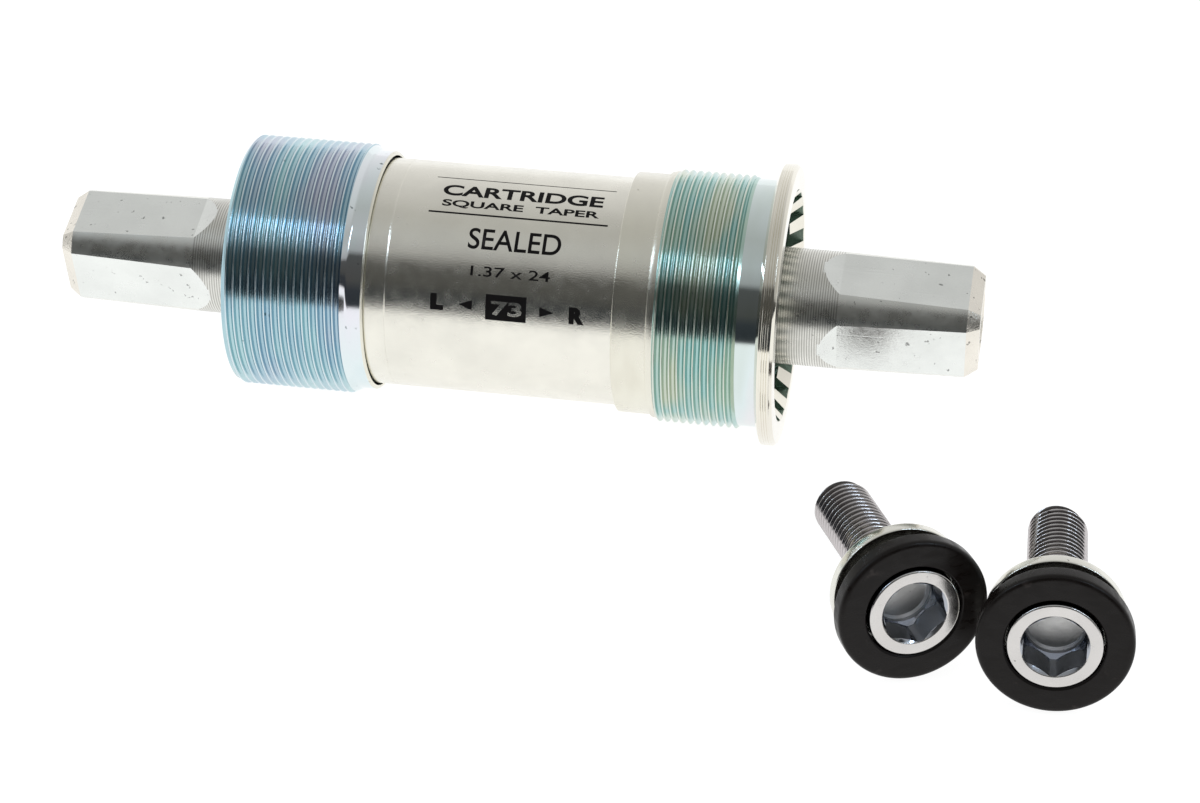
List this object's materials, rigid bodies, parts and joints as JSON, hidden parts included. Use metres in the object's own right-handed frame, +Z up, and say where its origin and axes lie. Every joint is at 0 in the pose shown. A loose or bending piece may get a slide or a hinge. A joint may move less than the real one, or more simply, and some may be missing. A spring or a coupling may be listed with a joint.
{
  "type": "bottom bracket",
  "caption": "Square-taper cartridge bottom bracket with a flanged fixed cup, a threaded adapter cup and loose crank bolts with dust caps.",
  "frame": {"origin": "middle of the frame's shell, on the spindle's axis", "axes": "+X along the spindle's axis towards the drive side, +Z up"},
  "size_m": [0.1513, 0.0728, 0.0389],
  "materials": {
    "bright_zinc": "bright zinc plate with a yellow-green tint",
    "blue_zinc": "bright zinc plate with a blue passivated tint",
    "satin_steel": "satin plated steel",
    "spindle_steel": "turned and plated steel",
    "bearing_steel": "ground bearing steel",
    "cage_plastic": "moulded plastic",
    "black_rubber": "moulded rubber",
    "chrome": "bright chrome",
    "washer_steel": "bright plated steel",
    "black_plastic": "satin black plastic with scuffs"
  },
  "bodies": {
    "cartridge": {"cartridge_tube": "satin_steel", "fixed_cup": "bright_zinc", "spacer_sleeve": "satin_steel", "right_outer_ring": "bearing_steel", "right_bearing_outer_shield": "black_rubber", "right_bearing_inner_shield": "black_rubber", "right_end_seal": "black_rubber", "left_outer_ring": "bearing_steel", "left_bearing_outer_shield": "black_rubber", "left_bearing_inner_shield": "black_rubber", "left_end_seal": "black_rubber"},
    "spindle": {"spindle": "spindle_steel", "right_inner_ring": "bearing_steel", "left_inner_ring": "bearing_steel"},
    "right_ball_set": {"right_cage": "cage_plastic", "right_ball_01": "bearing_steel", "right_ball_02": "bearing_steel", "right_ball_03": "bearing_steel", "right_ball_04": "bearing_steel", "right_ball_05": "bearing_steel", "right_ball_06": "bearing_steel", "right_ball_07": "bearing_steel", "right_ball_08": "bearing_steel", "right_ball_09": "bearing_steel", "right_ball_10": "bearing_steel", "right_ball_11": "bearing_steel"},
    "left_ball_set": {"left_cage": "cage_plastic", "left_ball_01": "bearing_steel", "left_ball_02": "bearing_steel", "left_ball_03": "bearing_steel", "left_ball_04": "bearing_steel", "left_ball_05": "bearing_steel", "left_ball_06": "bearing_steel", "left_ball_07": "bearing_steel", "left_ball_08": "bearing_steel", "left_ball_09": "bearing_steel", "left_ball_10": "bearing_steel", "left_ball_11": "bearing_steel"},
    "adapter_cup": {"adapter_cup": "blue_zinc"},
    "right_bolt": {"right_bolt": "chrome"},
    "right_washer": {"right_washer": "washer_steel"},
    "right_dust_cap": {"right_dust_cap": "black_plastic"},
    "left_bolt": {"left_bolt": "chrome"},
    "left_washer": {"left_washer": "washer_steel"},
    "left_dust_cap": {"left_dust_cap": "black_plastic"}
  },
  "joints": [
    {"name": "spindle_spin", "type": "hinge", "parent": "cartridge", "child": "spindle", "pos_m": [0, 0, 0], "axis": [1, 0, 0], "continuous": true},
    {"name": "right_ball_set_spin", "type": "hinge", "parent": "cartridge", "child": "right_ball_set", "pos_m": [0.0239, 0, 0], "axis": [1, 0, 0], "continuous": true},
    {"name": "left_ball_set_spin", "type": "hinge", "parent": "cartridge", "child": "left_ball_set", "pos_m": [-0.0231, 0, 0], "axis": [1, 0, 0], "continuous": true},
    {"name": "adapter_cup_slide", "type": "slide", "parent": "cartridge", "child": "adapter_cup", "axis": [-1, 0, 0], "range_m": [0, 0.05]},
    {"name": "right_bolt_lift", "type": "slide", "parent": "cartridge", "child": "right_bolt", "axis": [0, 0, 1], "range_m": [0, 0.04]},
    {"name": "right_washer_spin", "type": "hinge", "parent": "right_bolt", "child": "right_washer", "pos_m": [0.07914, -0.0512, -0.00888], "axis": [0.0377, -0.9714, 0.2346], "continuous": true},
    {"name": "right_dust_cap_spin", "type": "hinge", "parent": "right_bolt", "child": "right_dust_cap", "pos_m": [0.07914, -0.0512, -0.00888], "axis": [0.0377, -0.9714, 0.2346], "continuous": true},
    {"name": "left_bolt_lift", "type": "slide", "parent": "cartridge", "child": "left_bolt", "axis": [0, 0, 1], "range_m": [0, 0.04]},
    {"name": "left_washer_spin", "type": "hinge", "parent": "left_bolt", "child": "left_washer", "pos_m": [0.06117, -0.04777, -0.00888], "axis": [0.4131, -0.8799, 0.2346], "continuous": true},
    {"name": "left_dust_cap_spin", "type": "hinge", "parent": "left_bolt", "child": "left_dust_cap", "pos_m": [0.06117, -0.04777, -0.00888], "axis": [0.4131, -0.8799, 0.2346], "continuous": true}
  ],
  "couplings": [
    {"joint": "right_ball_set_spin", "follows": "spindle_spin", "ratio": 0.42944},
    {"joint": "left_ball_set_spin", "follows": "spindle_spin", "ratio": 0.42944}
  ]
}
